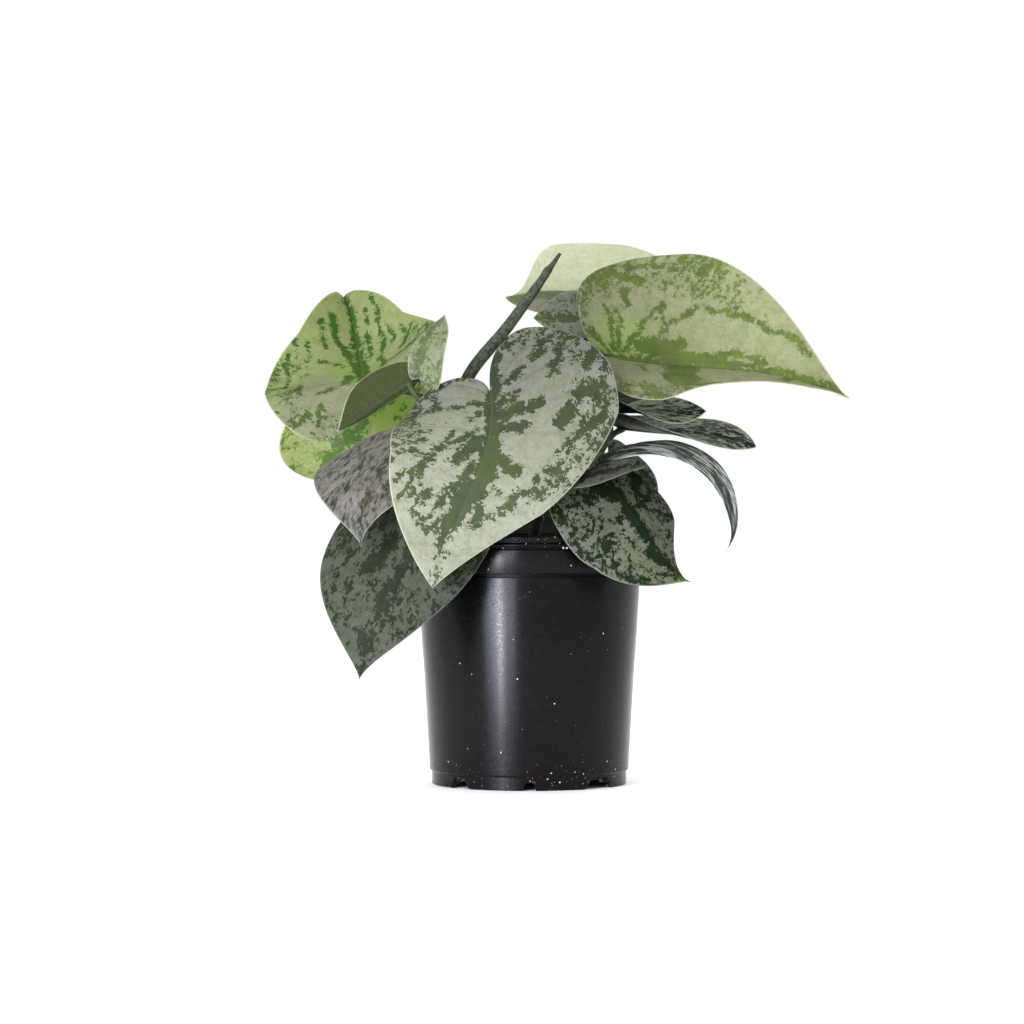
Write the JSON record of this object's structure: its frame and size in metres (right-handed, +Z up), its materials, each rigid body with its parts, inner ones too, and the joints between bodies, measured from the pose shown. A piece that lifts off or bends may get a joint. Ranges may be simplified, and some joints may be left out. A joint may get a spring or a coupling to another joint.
{
  "type": "potted satin pothos plant",
  "caption": "Satin pothos with silver-splashed heart-shaped leaves on arching petioles, standing in a filled black plastic nursery pot.",
  "frame": {"origin": "on the pot's axis, on the surface that its foot stands on", "axes": "+Z up along the pot's axis, -Y towards the plant's fullest side, +X towards the longest leaf"},
  "size_m": [0.3205, 0.2124, 0.3054],
  "materials": {
    "pot_plastic": "satin",
    "soil": "matte",
    "stem": "satin",
    "leaf_bright": "satin",
    "leaf_green": "satin",
    "leaf_silver": "satin"
  },
  "bodies": {
    "root": {"pot": "pot_plastic", "soil": "soil", "vine_front_left": "stem", "vine_left": "stem", "vine_front_right": "stem", "vine_right": "stem", "vine_back": "stem", "leaf_front": "leaf_bright", "leaf_right_top": "leaf_bright", "leaf_crown": "leaf_bright", "leaf_crown_low": "leaf_silver", "leaf_left_top": "leaf_bright", "leaf_left_narrow": "leaf_silver", "leaf_left_back": "leaf_bright", "leaf_left_mid": "leaf_silver", "leaf_left_low": "leaf_silver", "leaf_left_rolled": "leaf_green", "leaf_right_low": "leaf_green", "leaf_right_small": "leaf_silver", "leaf_front_under": "leaf_green", "leaf_right_rolled": "leaf_silver", "leaf_right_flat": "leaf_green", "leaf_right_strap": "leaf_silver", "leaf_right_inner": "leaf_green", "leaf_right_shade": "leaf_green", "leaf_back_left": "leaf_green", "leaf_back_mid": "leaf_green", "leaf_back_low": "leaf_silver"}
  },
  "joints": []
}
